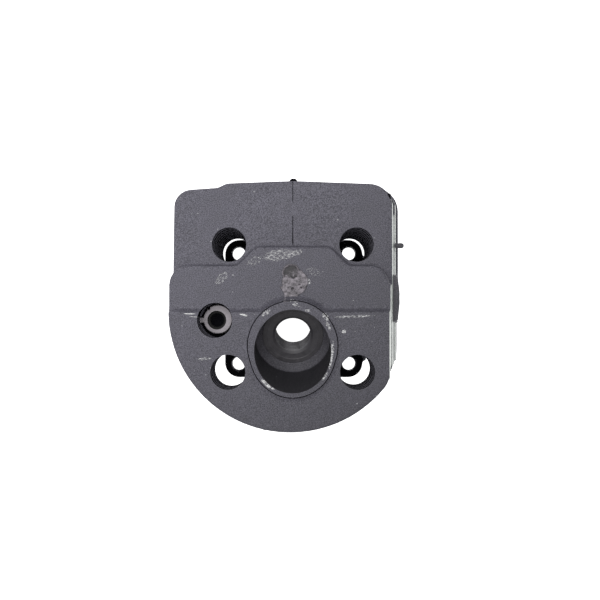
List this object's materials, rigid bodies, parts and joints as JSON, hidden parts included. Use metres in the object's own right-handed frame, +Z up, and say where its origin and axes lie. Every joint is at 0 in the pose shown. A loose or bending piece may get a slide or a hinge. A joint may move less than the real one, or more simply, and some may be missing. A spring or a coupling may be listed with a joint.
{
  "type": "engine cylinder with integral head",
  "caption": "Finned air-cooled two-stroke cylinder with the head cast in one, a leaning plug well, side ports and a square base flange.",
  "frame": {"origin": "cylinder axis on the base flange's sealing face", "axes": "+Z up the cylinder axis towards the spark plug; +X towards the intake face and -X towards the exhaust face; -Y the front, where the plug leans out over the round edge of the top plate"},
  "size_m": [0.0859, 0.0903, 0.0846],
  "materials": {
    "coated_casting": "die-cast aluminium with a black sand-textured coat, matte",
    "bore_plating": "honed plating, satin",
    "plug_bush": "dark threaded steel",
    "bush_steel": "dull turned steel",
    "insert_steel": "plain turned steel",
    "coated_peg": "cast peg under the same black coat"
  },
  "bodies": {
    "root": {"top_plate": "coated_casting", "plug_tower": "coated_casting", "head_core": "coated_casting", "fin_1": "coated_casting", "fin_2": "coated_casting", "fin_3": "coated_casting", "fin_4": "coated_casting", "fin_5": "coated_casting", "fin_6": "coated_casting", "fin_7": "coated_casting", "fin_8": "coated_casting", "fin_9": "coated_casting", "side_rail": "coated_casting", "barrel": "coated_casting", "transfer_walls": "coated_casting", "intake_hood": "coated_casting", "intake_duct": "coated_casting", "intake_flange": "coated_casting", "exhaust_duct": "coated_casting", "exhaust_flange": "coated_casting", "cover_screw_post": "coated_casting", "base_flange": "coated_casting", "crankcase_spigot": "coated_casting", "bore_lining": "bore_plating", "plug_thread_bush": "plug_bush", "keyed_screw_bush": "bush_steel", "intake_thread_inserts": "insert_steel", "exhaust_thread_inserts": "insert_steel", "locating_peg": "coated_peg"}
  },
  "joints": []
}
